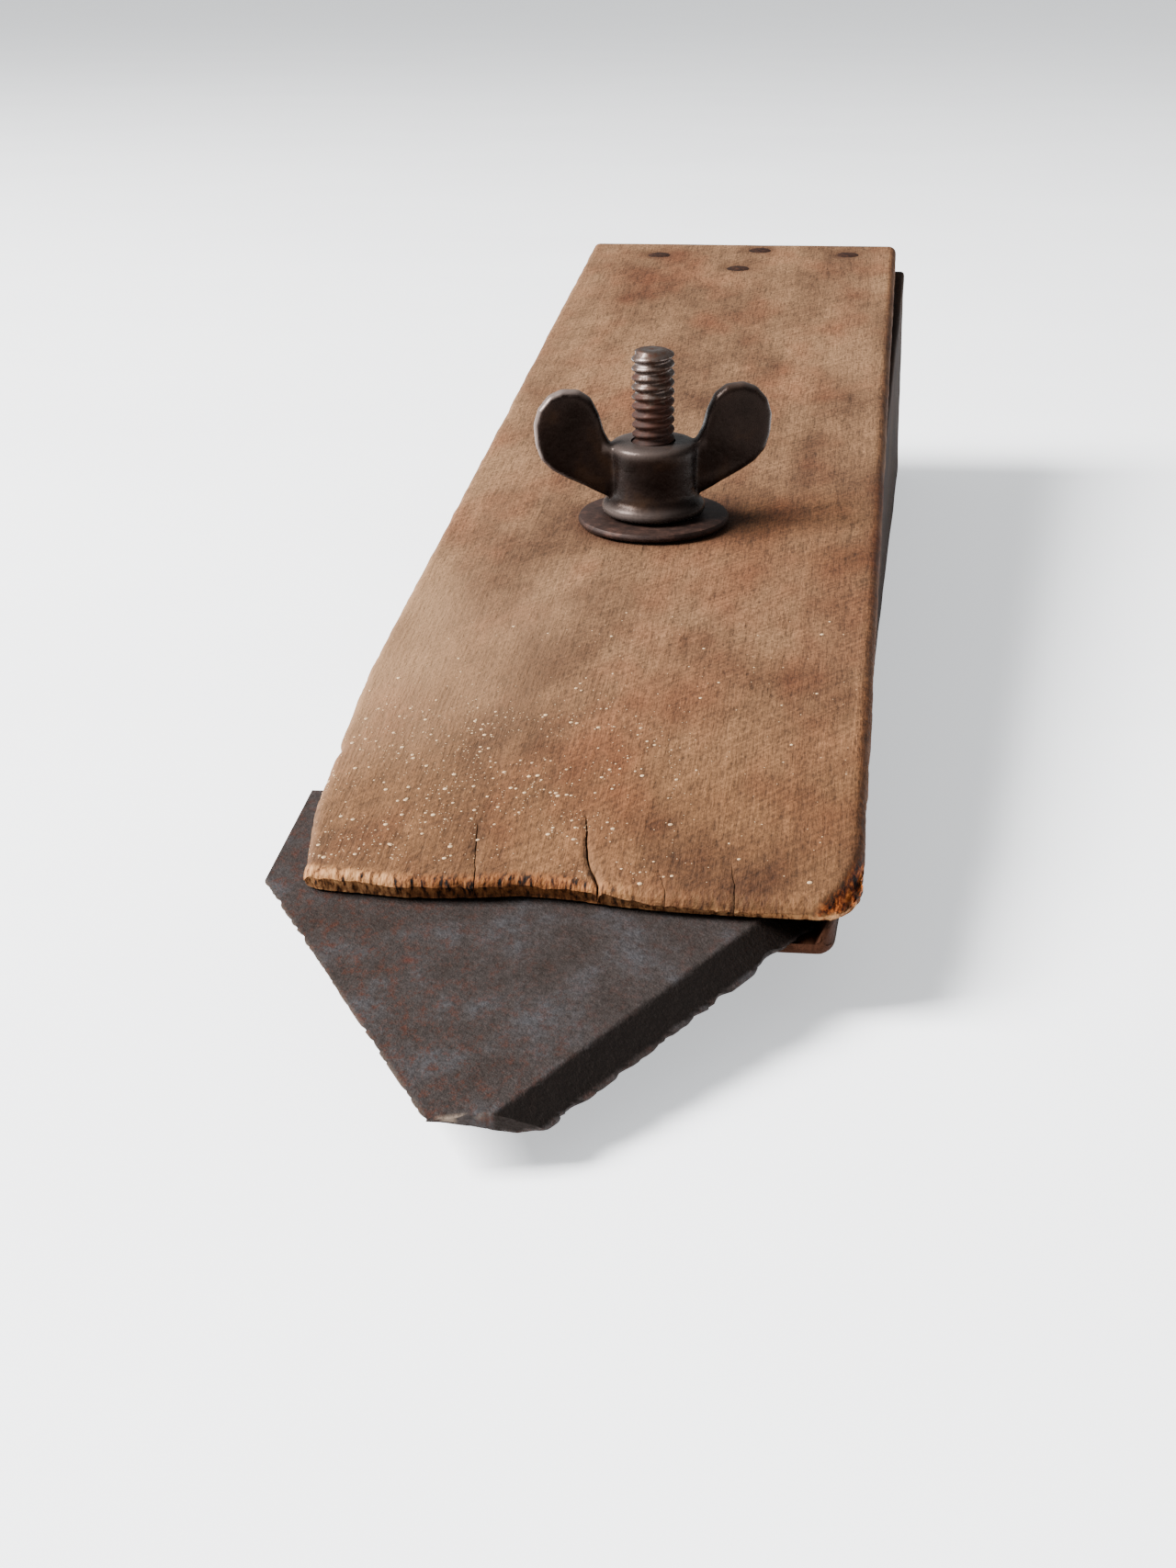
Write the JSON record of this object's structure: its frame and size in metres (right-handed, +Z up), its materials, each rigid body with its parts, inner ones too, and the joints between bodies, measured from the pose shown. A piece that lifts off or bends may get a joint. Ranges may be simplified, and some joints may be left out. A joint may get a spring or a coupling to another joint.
{
  "type": "hand plane",
  "caption": "Wedge-shaped wooden hand plane with a pointed iron clamped at the front under a nailed cap board by a bolt and wing nut.",
  "frame": {"origin": "middle of the flat sole, which is also the middle of the body's length and width seen from above", "axes": "+Z up from the sole, -Y towards the front where the iron points, +Y towards the nailed rear end, +X to the right seen from the front"},
  "size_m": [0.0704, 0.3663, 0.0556],
  "materials": {
    "body_wood": "old oiled wood, dark with handling",
    "cap_wood": "weathered brown wood with paint specks",
    "iron_steel": "dark patina with rust mottling",
    "bolt_steel": "rusty threaded steel",
    "washer_steel": "brown rust",
    "nut_steel": "blackened, polished by fingers on the arrises",
    "nail_iron": "dark rust"
  },
  "bodies": {
    "stock": {"body": "body_wood", "bolt": "bolt_steel", "nail_1": "nail_iron", "nail_2": "nail_iron", "nail_3": "nail_iron", "nail_4": "nail_iron"},
    "cap": {"cap_board": "cap_wood"},
    "washer": {"washer": "washer_steel"},
    "nut": {"wing_nut": "nut_steel"},
    "iron": {"iron": "iron_steel"}
  },
  "joints": [
    {"name": "washer_rise", "type": "slide", "parent": "stock", "child": "washer", "axis": [0, -0.1045, 0.9945], "range_m": [0, 0.0131]},
    {"name": "nut_spin", "type": "hinge", "parent": "washer", "child": "nut", "pos_m": [-0.0015, -0.03805, 0.03091], "axis": [0, -0.1045, 0.9945], "range_deg": [0, 3330]},
    {"name": "cap_spring", "type": "hinge", "parent": "stock", "child": "cap", "pos_m": [-0.00448, 0.16018, 0.04481], "axis": [-0.9999, -0.0149, -0.0016], "range_deg": [0, 0.5]},
    {"name": "iron_slide", "type": "slide", "parent": "stock", "child": "iron", "axis": [0.015, -0.9944, -0.1045], "range_m": [0, 0.025]}
  ],
  "couplings": [
    {"joint": "washer_rise", "follows": "nut_spin", "m_per_rad": 0.00022457},
    {"joint": "cap_spring", "follows": "nut_spin", "ratio": 0.00015}
  ]
}
